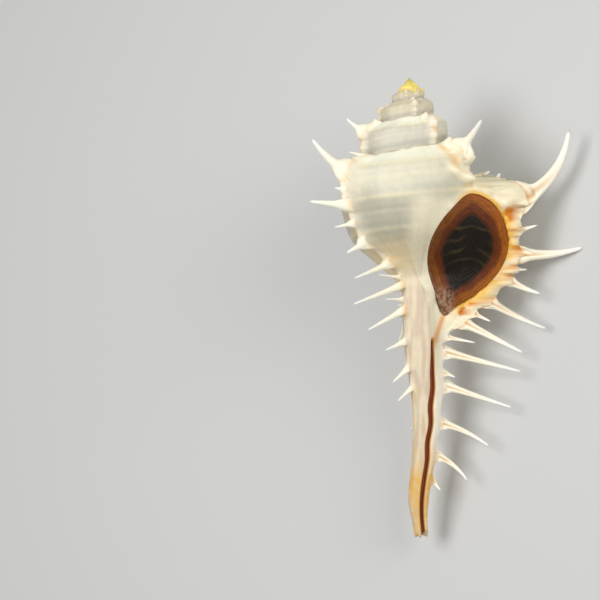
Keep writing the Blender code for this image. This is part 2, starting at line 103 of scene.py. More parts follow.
# The three ribs of the last winding, by growth angle: depth, height of the rib.
LIP_RIB = (
    (18, 0.0), (20, 0.3), (22, 1.1), (24, 2.7), (26, 3.1), (28, 3.0), (32, 2.8), (36, 2.6), (40, 2.1),
    (44, 1.4), (48, 1.0), (52, 0.7), (56, 0.3), (62, 0.1), (70, 0.0),
)
BACK_RIB = ((19, 0.6), (22, 1.9), (30, 2.3), (40, 1.9), (46, 1.3), (55, 0.8), (70, 0.5), (86, 0.0))
LEFT_RIB = ((16, 0.6), (19, 1.6), (26, 1.8), (30, 1.3), (34, 0.5), (40, 0.3), (50, 0.3), (60, 0.2), (68, 0.0))
RIB_SPACING = 112.5
LAST_RIBS = ((0.0, LIP_RIB), (-RIB_SPACING, BACK_RIB), (-2 * RIB_SPACING, LEFT_RIB))
OLD_RIBS = tuple(-RIB_SPACING * n for n in range(3, 14))
OLD_RIB_SHARE = 0.11
RIB_HALF_WIDTH = 2.6
RIB_LEAST_RADIUS = 6.0
# The half width of a rib's steep side, at a spine and what is added between two of them.
RIB_STEEP_WIDTH = (0.5, 1.2)
# Half the width of an older rib: share of its winding's radius, and what is added to it.
OLD_RIB_WIDTH = (0.16, 0.25)
# How far a rib rises round the root of a spine, and how wide, for a spine of thickness 1.
FLARE_HEIGHT = 0.55
FLARE_WIDTH = 1.1
# How much lower a rib is between two of its spines.
SCALLOP = 0.38

# The mouth lies between the lip and the inner lip, this many degrees further round.
MOUTH_ANGLE = 65.0
JUST_PAST_LIP = -359.99
MOUTH_RAMP = 2.5
MOUTH_FADE = ((19, 0.0), (23, 1.0), (54, 1.0), (62, 0.0))
# The smooth inner lip: depth, azimuth of its outer edge.
INNER_LIP_EDGE = ((24, 97), (39, 96), (42, 84), (45, 66), (47.5, 48))
INNER_LIP_HEIGHT = 0.55
INNER_LIP_ENDS = (22, 48)
INNER_LIP_END_FADE = 4
# In degrees past the lip: where it is whole, and how far it can reach.
INNER_LIP_START = 20
INNER_LIP_REACH = 200
# The ridge that runs on from the lip over the winding above the mouth: growth angle, depth.
RIDGE = ((-360, 22.6), (-340, 21.4), (-325, 19.6), (-313, 18.2))
RIDGE_HEIGHT = 1.5
RIDGE_STEEP_WIDTH = 0.55
RIDGE_SOFT_WIDTH = 1.5
# The open slit of the canal: depth, azimuth.
SLIT = (
    (46, 38), (51, 41), (55, 50), (59, 63), (62, 65), (66, 75), (69, 67), (73, 77), (76.6, 66), (80, 71),
    (85, 66), (92, 60),
)
SLIT_MIDDLE = LIP_AZIMUTH + 52.5
SLIT_DEPTH = 1.0
SLIT_HALF_WIDTH = 0.85
SLIT_TOP = 51.5
SLIT_RAMP = 1.5
SLIT_MOST_SHARE = 0.62
# How far round and from which depth the points are drawn to the slit.
SLIT_PULL_WIDTH = 35
SLIT_PULL_TOP = 40
SLIT_PULL_RAMP = 6
# Above the slit a stained furrow runs down from the opening: depth, X.
FURROW = ((46, 5.0), (48.5, 4.2), (51, 3.4), (54, 2.7), (57, 2.5))
FURROW_WIDTH = 0.55

# The folds of the lip: the depth where they have faded out, how far behind the lip they reach in degrees,
# the height of its lobes, the depth of its grooves and of its sunk edge, and the crimps of that edge.
LIP_END = 48.5
LIP_BACK = 9.0
LOBE_HEIGHT = 0.9
GROOVE_DEPTH = 1.0
EDGE_DEPTH = 0.6
CRIMP_HEIGHT = 0.13
CRIMPS = 38
# The outline of the opening: X, depth.
MOUTH = (
    (9.3, 23.5), (13.5, 24.9), (16.2, 28.6), (17.2, 32.8), (16.6, 36.6), (14.2, 40.4), (10.4, 43.6),
    (6.8, 45.8), (4.7, 47.4), (2.9, 43.2), (1.3, 37.9), (1.4, 33.7), (2.8, 30.2), (5.2, 27.0),
)
MOUTH_MIDDLE = (8.6, 34.5)
MOUTH_ABOVE = 40.0
MOUTH_NARROW = 0.9
MOUTH_FLOOR = -5.0
MOUTH_TAPER = 0.62
LID_GAP = 0.03
LID_THICKNESS = 0.9
LID_SINK = 0.6
LID_BOWL = 0.5
# The lid's growth: its middle, the number of its rings, the height of a ring and of its slow waves.
LID_CENTRE = (9.0, 35.0)
LID_RINGS = 12
LID_RING_HEIGHT = 0.03
LID_WAVE_HEIGHT = 0.12
LID_LOOPS = 56
# The space behind the lid: how far below the lid it stays wide, and the depth of the step below that.
CLEAR_OF_LID = 0.4
STEP_DOWN = 1.5

# The spines. Each row is the degrees off the rib, the depth of the base, the tip's X, depth and Z, the bow
# toward the canal and the thickness.
LIP_SPINES = (
    (0, 20.9, 13.6, 18.9, 5.0, 0.0, 1.3),
    (0, 22.3, 15.6, 19.3, 5.0, 0.0, 1.1),
    (0, 25.8, 29.2, 10.6, 5.0, 2.8, 3.3),
    (0, 30.4, 23.0, 29.6, 6.0, 0.0, 1.1),
    (0, 34.8, 31.9, 34.0, 6.0, 0.8, 2.6),
    (0, 37.8, 20.8, 38.4, 7.2, 0.0, 1.0),
    (0, 39.4, 23.5, 43.2, 6.5, 0.3, 1.7),
    (0, 43.4, 24.7, 50.1, 6.5, 0.4, 1.7),
    (0, 46.2, 13.8, 48.7, 5.0, 0.0, 1.0),
    (0, 48.0, 20.1, 54.9, 6.5, 0.0, 1.8),
    (0, 51.8, 10.9, 52.9, 4.0, 0.0, 0.9),
    (0, 55.3, 19.9, 58.6, 6.5, 0.0, 1.6),
    (0, 59.0, 7.0, 59.8, 2.5, 0.0, 0.9),
    (0, 62.1, 18.0, 65.7, 6.0, 0.0, 1.5),
    (0, 69.4, 13.6, 73.5, 4.5, -0.6, 1.4),
    (0, 75.8, 9.4, 80.5, 3.0, -0.7, 1.3),
    (0, 80.4, 4.1, 82.5, 1.5, 0.0, 0.9),
)
BACK_SPINES = (
    (0, 23.4, -5.6, 18.9, -30.0, 0.6, 1.9),
    (18, 22.0, 4.2, 18.5, -21.2, 0.0, 1.0),
    (0, 28.2, -2.6, 27.6, -22.6, 0.0, 1.2),
    (0, 33.9, -6.2, 33.9, -21.8, 0.3, 1.5),
    (0, 38.5, 0.6, 38.3, -19.2, 0.0, 1.1),
    (0, 44.5, -4.0, 45.5, -13.2, 0.0, 1.1),
    (-30, 48.7, -4.3, 54.9, -17.0, 0.5, 1.3),
    (-30, 55.3, -2.8, 59.7, -16.0, 0.5, 1.2),
    (-30, 61.9, -0.9, 66.7, -15.0, 0.5, 1.2),
    (-30, 68.3, -1.6, 71.1, -9.5, 0.3, 1.0),
    (22, 52.9, 1.4, 53.5, -6.4, 0.0, 0.8),
    (22, 58.7, 3.8, 58.5, -6.6, 0.0, 0.8),
    (22, 64.9, 2.8, 64.5, -5.0, 0.0, 0.8),
)
LEFT_SPINES = (
    (0, 16.9, -14.5, 15.2, 6.4, 0.0, 0.9),
    (0, 19.7, -21.7, 12.7, 9.0, 0.6, 2.3),
    (0, 22.6, -17.3, 22.4, 8.6, 0.0, 0.9),
    (0, 25.7, -22.2, 25.1, 9.6, 0.0, 1.9),
    (0, 29.0, -17.4, 30.2, 8.8, 0.0, 1.0),
    (0, 32.4, -14.9, 35.2, 8.8, 0.0, 1.6),
    (0, 36.6, -13.4, 40.2, 7.8, 0.0, 1.3),
    (0, 39.4, -8.6, 39.4, 5.4, 0.0, 0.7),
    (0, 41.2, -13.6, 45.3, 7.0, 0.0, 1.4),
    (0, 44.4, -7.2, 44.2, 4.4, 0.0, 0.7),
    (0, 46.6, -10.7, 50.4, 6.0, 0.0, 1.3),
    (0, 52.4, -7.2, 54.4, 4.2, 0.0, 1.1),
    (0, 57.8, -5.8, 61.0, 3.2, 0.0, 1.1),
    (0, 62.0, -4.7, 64.7, 2.4, 0.0, 1.0),
)
OLD_SPINES = (
    (-3 * RIB_SPACING, (0, 15.6, 11.3, 9.3, 12.6, 0.4, 2.0)),
    (-4 * RIB_SPACING, (0, 13.3, 1.6, 8.6, -15.4, 0.3, 1.2)),
    (-5 * RIB_SPACING, (0, 11.2, -14.9, 8.0, 1.6, 0.3, 1.2)),
)
# The tips that the shell rests on. The last one reaches furthest to the lip's side.
FEET = (BACK_SPINES[0], BACK_SPINES[8], LIP_SPINES[4])
SPINES = (
    [(0.0, spine) for spine in LIP_SPINES]
    + [(-RIB_SPACING, spine) for spine in BACK_SPINES]
    + [(-2 * RIB_SPACING, spine) for spine in LEFT_SPINES]
    + list(OLD_SPINES)
)

# How wide the block of faces is that a spine grows from, against its thickness, and in faces.
SPINE_BLOCK = 1.5
BLOCK_RANGE = (3, 24)
# A spine's thickness: what is left at the tip, how it tapers, how much wider the root is and how fast
# that fades.
SPINE_TIP = 0.24
SPINE_TAPER = 0.9
SPINE_ROOT = 1.1
ROOT_FADE = 10
# A spine is round from this share of its length on, or sooner if it is long for its thickness.
ROUND_BY = 0.45
ROUND_SOONER = 1.7
SPINE_FOOT = 0.85
# The rings of a spine: their spacing, their least and greatest number, and how they crowd at the root.
RING_SPACING = 0.6
RING_RANGE = (7, 22)
RING_CROWDING = 1.15
SPINE_GROOVE = 0.7
SPINE_GROOVE_WIDTH = 0.04

# The low cords round the windings: share of the winding's height, height of the cord.
CORDS = (
    (0.105, 0.10), (0.16, 0.02), (0.22, 0.05), (0.29, 0.02), (0.375, 0.10), (0.44, 0.02), (0.50, 0.04),
    (0.56, 0.02), (0.635, 0.08), (0.70, 0.02), (0.76, 0.05), (0.82, 0.02), (0.88, 0.05),
)
CORD_HALF_WIDTH = 0.013
HIGHEST_CORD = 0.1
# The height of the growth lines and of the slow unevenness, and what old windings add to the second.
GROWTH_LINE = 0.05
UNEVEN_NEW = 0.10
UNEVEN_OLD = 0.5

# What is known of each point, in this order.
FACTS = (
    "angle", "depth", "share", "rib", "on_mouth", "inner_lip", "slit", "on_spine",
    "groove", "outside", "ridge",
)
ON_SPINE = FACTS.index("on_spine")
GROOVE = FACTS.index("groove")

# Colours, as the shades of red, green and blue from 0 to 255.
# The shoulder: the pale band at the top of a winding, made lighter still as a painted highlight from the
# light above.
SHOULDER_AND_HIGHLIGHT = (254, 249, 226)
UPPER_BAND = (222, 217, 194)
MIDDLE_BAND = (166, 163, 145)
LOWER_BAND = (226, 206, 164)
CANAL_COLOUR = (228, 213, 184)
CANAL_SHADE = (204, 182, 160)
CANAL_WALL = (252, 245, 228)
CANAL_STREAK = (226, 178, 88)
CORD_COLOUR = (250, 236, 190)
LILAC = (178, 173, 162)
PALE_GREY = (202, 197, 184)
OCHRE = (206, 172, 104)
RIB_COLOUR = (246, 235, 212)
STAIN = (240, 192, 116)
LIP_COLOUR = (255, 240, 205)
LIP_GUTTER = (238, 186, 70)
BLOTCH = (214, 128, 8)
INNER_LIP = (226, 217, 188)
SLIT_COLOUR = (136, 62, 8)
# Painted shade: the thin shadow in the crease of the seam between two windings.
SEAM_SHADE_COLOUR = (150, 132, 92)
GOLD = (255, 226, 122)
SPIRE_COLOUR = (212, 201, 172)
SPINE_COLOUR = (255, 245, 221)
TIP_COLOUR = (246, 243, 234)
GROOVE_COLOUR = (206, 152, 78)
# Painted shade: a dark brown that stands in for the shadowed gap under the root of the longest spine.
ROOT_GAP_SHADE_COLOUR = (120, 66, 16)
LID_MIDDLE = (20, 13, 4)
LID_ARC = (62, 50, 26)
LID_BROWN = (96, 42, 4)
LID_AMBER = (146, 78, 6)
LID_LEFT_AMBER = (120, 68, 18)
LID_DRIED = (150, 124, 104)


def tint(colour):
    """The colour in linear light."""
    shade = np.array(colour, float) / 255
    return np.where(shade <= 0.04045, shade / 12.92, ((shade + 0.055) / 1.055) ** 2.4)


def along(points, x):
    """A smooth curve through the points, read at x."""
    xs, ys = np.array(points, float).T
    slopes = np.gradient(ys, xs)
    x = np.clip(x, xs[0], xs[-1])
    low = np.clip(np.searchsorted(xs, x) - 1, 0, len(xs) - 2)
    width = xs[low + 1] - xs[low]
    u = (x - xs[low]) / width
    return (
        (1 + 2 * u) * (1 - u) ** 2 * ys[low]
        + u * (1 - u) ** 2 * width * slopes[low]
        + u ** 2 * (3 - 2 * u) * ys[low + 1]
        + u ** 2 * (u - 1) * width * slopes[low + 1]
    )


def ease(x):
    """0 up to x = 0, 1 from x = 1, and smooth between."""
    x = np.clip(x, 0.0, 1.0)
    return x * x * (3 - 2 * x)


def rise(x, start, width):
    """0 up to the start, 1 from a width past it."""
    return ease((x - start) / width)


def fall(x, end, width):
    """1 up to a width before the end, 0 from the end on."""
    return ease((end - x) / width)


def hump(x, middle, width):
    """1 at the middle, and nearly 0 two widths away from it."""
    return np.exp(-(((x - middle) / width) ** 2))


def grain(points, scale, seed=0.0):
    """Smooth noise from -1 to 1 at these points, with lumps of about 1 / scale."""
    flat = np.asarray(points, float).reshape(-1, 3) * scale + seed
    values = [noise.noise(Vector(point)) for point in flat]
    return np.array(values).reshape(np.asarray(points).shape[:-1])


def growth_grain(angle, depth, per_degree, per_depth, seed):
    """Noise that follows the growth of the tube, with this many lumps to a degree and to a millimetre."""
    places = np.stack((angle * per_degree, depth * per_depth, np.zeros_like(angle)), axis=-1)
    return grain(places, 1.0, seed)


def plain_seam(angle):
    return SEAM_DEPTH_AT_LIP * SEAM_GROWTH ** (angle / 360)


def climb(angle):
    return SEAM_CLIMB * ease(1 - np.abs(angle) / CLIMB_ANGLE)


def seam_depth(angle):
    return plain_seam(angle) - climb(angle)


def winding_radius(angle):
    return RADIUS_AT_LIP * RADIUS_GROWTH ** (angle / 360) - RADIUS_LOSS


SEEN_SHARE = (plain_seam(0.0) - plain_seam(-360.0)) / HEIGHTS[0][1]


def winding_height(angle):
    spire = (plain_seam(angle + 360) - plain_seam(angle)) / SEEN_SHARE
    return np.where(angle < -360, spire, along(HEIGHTS, angle) + climb(angle))


def height_share(angle, depth):
    return (depth - seam_depth(angle)) / winding_height(angle)


def plain_radius(angle, depth):
    """Distance from the axis to the surface without ribs: the winding, or the canal where that is wider."""
    body = winding_radius(angle) * along(WINDING, height_share(angle, depth))
    canal = along(CANAL, depth)
    return 0.5 * (body + canal + np.sqrt((body - canal) ** 2 + NECK_BLEND))


def lobes(rib_angle, depth):
    """0 at the base of each of the rib's spines and 1 half-way between two of them."""
    bases = sorted(spine[1] for angle, spine in SPINES if angle == rib_angle and spine[0] == 0)
    place = np.interp(depth, bases, np.arange(len(bases)))
    return np.sin(np.pi * (place % 1.0)) ** 0.6


def rib_height(angle, depth, radius, scallop=SCALLOP):
    height = np.zeros_like(radius)
    for rib_angle, heights in LAST_RIBS:
        across = np.radians(angle - rib_angle) * np.maximum(radius, RIB_LEAST_RADIUS)
        steep_width = RIB_STEEP_WIDTH[0] + RIB_STEEP_WIDTH[1] * lobes(rib_angle, depth)
        half_width = np.where(across < 0, RIB_HALF_WIDTH, steep_width)
        away = across / half_width
        off_seam = rise(depth, seam_depth(rib_angle), 0.4)
        crest = along(heights, depth) * (1 - scallop * lobes(rib_angle, depth) * rise(depth, 24, 3))
        height = height + crest * ease(1 - np.abs(away)) * off_seam
    for rib_angle in OLD_RIBS:
        scale = winding_radius(rib_angle)
        away = np.radians(angle - rib_angle) * scale / (OLD_RIB_WIDTH[0] * scale + OLD_RIB_WIDTH[1])
        fade = fall(depth, seam_depth(rib_angle + 360) + 1.0, 2.0)
        share = height_share(np.full_like(depth, rib_angle), depth)
        knobs = 0.9 + 0.5 * hump(share, 0.13, 0.06) + 0.3 * np.cos(share * 45)
        height = height + 1.1 * OLD_RIB_SHARE * scale * ease(1 - np.abs(away)) * fade * knobs
    return height


def mouth_polar(x, depth):
    """How far these points lie outside the edge of the opening, and their heading from its middle."""
    outline = smooth_outline(MOUTH, 10) - MOUTH_MIDDLE
    headings = np.arctan2(outline[:, 1], outline[:, 0])
    order = np.argsort(headings)
    reach = np.hypot(outline[:, 0], outline[:, 1])[order]
    heading = np.arctan2(depth - MOUTH_MIDDLE[1], x - MOUTH_MIDDLE[0])
    edge = np.interp(heading, headings[order], reach, period=2 * math.pi)
    return np.hypot(x - MOUTH_MIDDLE[0], depth - MOUTH_MIDDLE[1]) - edge, heading


def lip_folds(x, depth):
    """The lip's grooves, from the opening to the spines, the lobes beside them and its crimped edge."""
    outside, heading = mouth_polar(x, depth)
    far = np.hypot(x - MOUTH_MIDDLE[0], depth - MOUTH_MIDDLE[1])
    groove = np.zeros_like(far)
    lobe = np.zeros_like(far)
    for _, base_depth, tip_x, tip_depth, _, _, thickness in LIP_SPINES:
        if thickness < 1.0 or base_depth > 56:
            continue
        rim_depth = np.array([base_depth])
        rim_x = surface_x(rim_depth)[0]
        along_it = math.atan2(base_depth - MOUTH_MIDDLE[1], rim_x - MOUTH_MIDDLE[0])
        turn = (heading - along_it + math.pi) % (2 * math.pi) - math.pi
        across = np.sin(turn) * far
        near = np.abs(turn) < 1.2
        size = min(1.0, thickness / 2.2)
        groove = np.maximum(groove, size * np.exp(-((across / (0.22 * thickness + 0.12)) ** 2)) * near)
        beside = (np.abs(across) - 0.62 * thickness - 0.3) / (0.3 * thickness + 0.25)
        lobe = np.maximum(lobe, size * np.exp(-(beside ** 2)) * near)
    off_edge = rise(outside, 0.5, 1.2)
    relief = LOBE_HEIGHT * lobe * off_edge - GROOVE_DEPTH * groove * off_edge
    relief = relief - EDGE_DEPTH * np.exp(-np.maximum(outside, 0.0) / 0.35)
    relief = relief + CRIMP_HEIGHT * np.cos(heading * CRIMPS) * hump(outside, 0.5, 0.7)
    return relief, groove * off_edge, outside


def surface_x(depth):
    """How far the lip's edge reaches at these depths."""
    radius = plain_radius(np.zeros_like(depth), depth)
    radius = radius + rib_height(np.zeros_like(depth), depth, radius)
    return along(AXIS, depth) + radius * math.cos(math.radians(LIP_AZIMUTH))


def spine_flare(angle, depth, radius):
    """How far the rib rises round the bases of its spines."""
    lift = np.zeros_like(radius)
    for rib_angle, (off_rib, base_depth, _, _, _, _, thickness) in SPINES:
        across = np.radians(angle - rib_angle - off_rib) * np.maximum(radius, 3.0)
        down = depth - base_depth
        away = (across / (FLARE_WIDTH * thickness)) ** 2 + (down / thickness) ** 2
        lift = lift + FLARE_HEIGHT * thickness * np.exp(-away)
    return lift


def mouth_face(angle, depth, scallop=SCALLOP):
    """Distance from the axis to the straight face between the lip and the inner lip."""
    lip = plain_radius(np.zeros_like(depth), depth)
    lip = lip + rib_height(np.zeros_like(depth), depth, lip, scallop)
    inner = plain_radius(np.full_like(depth, MOUTH_ANGLE - 360), depth)
    round_it = np.radians(angle + 360)
    whole = math.radians(MOUTH_ANGLE)
    return np.sin(whole) / (np.sin(whole - round_it) / lip + np.sin(round_it) / inner)


def mouth_share(angle, depth):
    """1 on the face across the mouth, 0 away from it."""
    in_mouth = (angle < MOUTH_ANGLE - 360) & (angle > -360) & (depth > seam_depth(angle + 360))
    ramp = rise(depth, seam_depth(angle + 360), MOUTH_RAMP) * np.clip(along(MOUTH_FADE, depth), 0.0, 1.0)
    return np.where(in_mouth, ramp, 0.0)


def inner_lip_share(angle, depth):
    """1 on the smooth inner lip, 0 away from it."""
    edge = along(INNER_LIP_EDGE, depth) - LIP_AZIMUTH
    past_lip = angle + 360
    near = (past_lip >= 0) & (past_lip < INNER_LIP_REACH)
    top, low = INNER_LIP_ENDS
    fade = rise(depth, top, INNER_LIP_END_FADE) * fall(depth, low, INNER_LIP_END_FADE)
    fade = fade * ease(past_lip / INNER_LIP_START)
    softness = 5 + 16 * fall(depth, 40, 12)
    return np.where(near, ease((edge + 0.3 * softness - past_lip) / softness) * fade, 0.0)


def ridge_share(angle, depth):
    """1 along the top of the ridge above the mouth, 0 away from it."""
    across = depth - along(RIDGE, angle)
    across = across / np.where(across > 0, RIDGE_STEEP_WIDTH, RIDGE_SOFT_WIDTH)
    return np.exp(-(across ** 2)) * fall(angle, RIDGE[-1][0], 14) * (angle > -360)


def slit_share(angle, depth, radius):
    """1 in the middle of the open slit, 0 away from it."""
    across = np.radians(angle + 360 + LIP_AZIMUTH - SLIT_MIDDLE) * radius
    on_canal = rise(depth, SLIT_TOP, SLIT_RAMP) * (angle > -360)
    return ease((1 - np.abs(across) / SLIT_HALF_WIDTH) * 1.6) * on_canal


def cord_relief(angle, depth, share):
    """Height of the raised cords, which are finer and closer on the spire and fade at the ribs' backs."""
    relief = np.zeros_like(share)
    width = CORD_HALF_WIDTH * (1 + 0.5 * (angle < -360))
    for middle, height in CORDS:
        relief = relief + height * hump(share, middle, width)
    scale = np.clip(winding_radius(angle) / winding_radius(0.0), 0.2, 1.0)
    return relief * scale ** 0.7


def surface(angle, depth):
    """Points of the shell without spines at these growth angles and depths, and what each is part of."""
    radius = plain_radius(angle, depth)
    slope = (plain_radius(angle, depth + 0.1) - plain_radius(angle, depth - 0.1)) / 0.2
    share = height_share(angle, depth)
    on_mouth = mouth_share(angle, depth)
    face = mouth_face(np.clip(angle, -360, MOUTH_ANGLE - 360), depth)
    rib = rib_height(angle, depth, radius)
    inner_lip = inner_lip_share(angle, depth)
    slit = slit_share(angle, depth, radius)

    middle = (angle / 360 * 40, depth, np.zeros_like(angle))
    wobble = grain(np.stack(middle, axis=-1), 0.35)
    growth = growth_grain(angle, depth, 0.55, 0.05, 7.3)
    folds = growth_grain(angle, depth, 0.16, 1.1, 3.1)
    bare = (1 - on_mouth) * (1 - inner_lip)
    size = np.clip(winding_radius(angle) / winding_radius(0.0), 0.15, 1.0)

    lift = rib * (1 + 0.3 * folds) + spine_flare(angle, depth, radius) * (1 - 0.7 * on_mouth)
    lift = lift * (1 - on_mouth) + cord_relief(angle, depth, share) * bare * (share < 1.05)
    old = fall(angle, -420, 120)
    uneven = (UNEVEN_NEW + UNEVEN_OLD * old) * wobble
    lift = lift + (GROWTH_LINE * growth + uneven) * bare * size ** 0.5
    ridge = ridge_share(angle, depth)
    lift = lift + INNER_LIP_HEIGHT * inner_lip + RIDGE_HEIGHT * ridge
    radius = radius + (face - radius) * on_mouth
    slope = np.clip(slope, -STEEPEST, STEEPEST) * (1 - on_mouth)
    lift = lift - np.minimum(SLIT_DEPTH, SLIT_MOST_SHARE * radius) * slit

    past_lip = angle + 360
    off_slit = past_lip + LIP_AZIMUTH - SLIT_MIDDLE
    pull = hump(off_slit, 0, SLIT_PULL_WIDTH) * rise(depth, SLIT_PULL_TOP, SLIT_PULL_RAMP) * (past_lip > 0)
    azimuth = LIP_AZIMUTH + angle + (along(SLIT, depth) - SLIT_MIDDLE) * pull

    steep = np.sqrt(1 + slope ** 2)
    radius = radius + lift / steep
    down = depth - lift * slope / steep
    turn = np.radians(azimuth)
    x = along(AXIS, down) + radius * np.cos(turn)
    z = radius * np.sin(turn)
    groove = np.zeros_like(x)
    outside = np.full_like(x, 9.0)
    if angle[0] > -LIP_BACK or -360 < angle[0] < MOUTH_ANGLE - 355:
        relief, groove, outside = lip_folds(x, down)
        on_lip = np.maximum(on_mouth, ease(1 + angle / LIP_BACK) * (angle > -LIP_BACK)) * (z > 0)
        on_lip = on_lip * fall(down, LIP_END, 3)
        on_lip = on_lip * ease((x - 7.0) / 2.0 + rise(down, 40, 5) * 4)
        z = z + relief * on_lip
        groove = groove * on_lip
    points = np.stack([x, -down, z], axis=-1)
    on_spine = np.zeros_like(x)
    facts = [angle, depth, share, rib, on_mouth, inner_lip, slit, on_spine, groove, outside, ridge]
    return points, np.stack(facts, axis=-1)


def rings_of(start, count, times):
    """The numbers of the points of several rings of this many points, one ring after another."""
    return [range(start + n * count, start + (n + 1) * count) for n in range(times)]


def band(ring, beyond):
    """The faces between two rings of points."""
    after = [(n + 1) % len(ring) for n in range(len(ring))]
    return [[ring[n], ring[after[n]], beyond[after[n]], beyond[n]] for n in range(len(ring))]


def fan(ring, middle):
    """The faces between a ring of points and a single point."""
    return [[corner, ring[(n + 1) % len(ring)], middle] for n, corner in enumerate(ring)]


def in_scene(name, data):
    made = bpy.data.objects.new(name, data)
    bpy.context.scene.collection.objects.link(made)
    return made


class Strip:
    """The spiral strip of faces, by column and row, and the points that spines and ends add to it."""

    def __init__(self):
        self.points = []
        self.facts = []
        self.index = {}
        self.blocks = {}
        self.faces = []
        self.last = round(-FIRST_ANGLE / STEP)
        self.end_row = SEAM_ROWS + BASE_ROWS + CANAL_ROWS
        self.first_open = self.last - COLUMNS + 1
        self.lay_points()
        self.lay_faces()

    def add(self, point, facts):
        self.points.append(np.asarray(point, float))
        self.facts.append(np.asarray(facts, float))
        return len(self.points) - 1

    def angle(self, column):
        return FIRST_ANGLE + column * STEP

    def depths(self, column):
        """The depth of each row of a column. The rows of a winding keep their share of its height."""
        angle = self.angle(column)
        top = seam_depth(angle)
        height = float(winding_height(angle))
        seen = height * SEEN_SHARE - climb(angle + 360)
        rows = top + seen * np.arange(SEAM_ROWS + 1) / SEAM_ROWS
        if column < self.first_open:
            return rows
        base = rows[-1] + (top + height - rows[-1]) * (np.arange(BASE_ROWS) + 1) / BASE_ROWS
        notch = END_NOTCH * fall(angle, NOTCH_ANGLE, NOTCH_RAMP)
        end = LENGTH - notch - TEETH_DEPTH * (1 + math.sin(math.radians(angle) * TEETH))
        canal = base[-1] + (end - base[-1]) * (np.arange(CANAL_ROWS) + 1) / CANAL_ROWS
        return np.concatenate([rows, base, canal])

    def lay_points(self):
        for column in range(self.last + 1):
            depths = self.depths(column)
            points, facts = surface(np.full_like(depths, self.angle(column)), depths)
            for row in range(len(depths)):
                joined = row == SEAM_ROWS and column < self.first_open
                if not joined:
                    self.index[column, row] = self.add(points[row], facts[row])
        for column in range(self.first_open):
            self.index[column, SEAM_ROWS] = self.index[column + COLUMNS, 0]

    def lay_faces(self):
        for column in range(self.last):
            rows = self.end_row if column >= self.first_open else SEAM_ROWS
            for row in range(rows):
                self.blocks[column, row] = [
                    self.index[column, row],
                    self.index[column + 1, row],
                    self.index[column + 1, row + 1],
                    self.index[column, row + 1],
                ]
        self.zip_mouth()
        ring = [self.index[column, self.end_row] for column in range(self.first_open, self.last + 1)]
        self.close(ring, np.mean([self.points[n] for n in ring], axis=0))
        ring = [self.index[column, 0] for column in range(COLUMNS + 1)]
        ring += [self.index[0, row] for row in range(SEAM_ROWS - 1, 0, -1)]
        self.close(ring[::-1], (float(along(AXIS, 0.0)), 0.0, 0.0))

    def close(self, ring, point):
        self.faces += fan(ring, self.add(point, self.facts[ring[0]]))

    def zip_mouth(self):
        """Joins the lip to the first column past it, which has fewer rows."""
        lip = [self.index[self.last, row] for row in range(self.end_row + 1)]
        inner = [self.index[self.first_open, row] for row in range(SEAM_ROWS, self.end_row + 1)]
        here, there = 0, 0
        while here < len(lip) - 1 or there < len(inner) - 1:
            step_lip = there == len(inner) - 1
            if not step_lip and here < len(lip) - 1:
                step_lip = self.points[lip[here + 1]][1] > self.points[inner[there + 1]][1]
            if step_lip:
                self.faces.append([lip[here], inner[there], lip[here + 1]])
                here += 1
            else:
                self.faces.append([lip[here], inner[there], inner[there + 1]])
                there += 1

    def is_free(self, first, wide, top, tall):
        """Whether every face of the block is still there to grow a spine from."""
        block = [(first + n, top + m) for n in range(wide) for m in range(tall)]
        return all(face in self.blocks for face in block)

    def block_for(self, rib_angle, base_depth, thickness):
        """The columns and rows of faces that a spine of this thickness grows from."""
        column = min(round((rib_angle - FIRST_ANGLE) / STEP), self.last)
        depths = self.depths(column)
        middle = self.points[self.index[column, int(np.abs(depths - base_depth).argmin())]]
        round_it = math.hypot(middle[0] - float(along(AXIS, base_depth)), middle[2])
        wide = round(SPINE_BLOCK * thickness / (math.radians(STEP) * round_it))
        wide = min(max(wide, BLOCK_RANGE[0]), BLOCK_RANGE[1])
        first = column - wide if column == self.last else column - (wide + 1) // 2
        off_base = np.abs((depths[:-1] + depths[1:]) / 2 - base_depth)
        row = int(off_base.argmin())
        tall = max(BLOCK_RANGE[0], round(SPINE_BLOCK * thickness / (depths[row + 1] - depths[row])))
        while tall > 1:
            top = row - (tall - 1) // 2
            if self.is_free(first, wide, top, tall):
                return first, wide, top, tall
            tall -= 1
        raise ValueError("no room for the spine at depth %.1f" % base_depth)

    def grow_spine(self, rib_angle, spine):
        off_rib, base_depth, tip_x, tip_depth, tip_z, bow, thickness = spine
        first, wide, top, tall = self.block_for(rib_angle + off_rib, base_depth, thickness)
        for column in range(first, first + wide):
            for row in range(top, top + tall):
                del self.blocks[column, row]
        loop = [self.index[first, top + n] for n in range(tall)]
        loop += [self.index[first + n, top + tall] for n in range(wide)]
        loop += [self.index[first + wide, top + tall - n] for n in range(tall)]
        loop += [self.index[first + wide - n, top] for n in range(wide)]
        self.draw_out(loop, np.array((tip_x, -tip_depth, tip_z)), bow, thickness, rib_angle == 0.0)

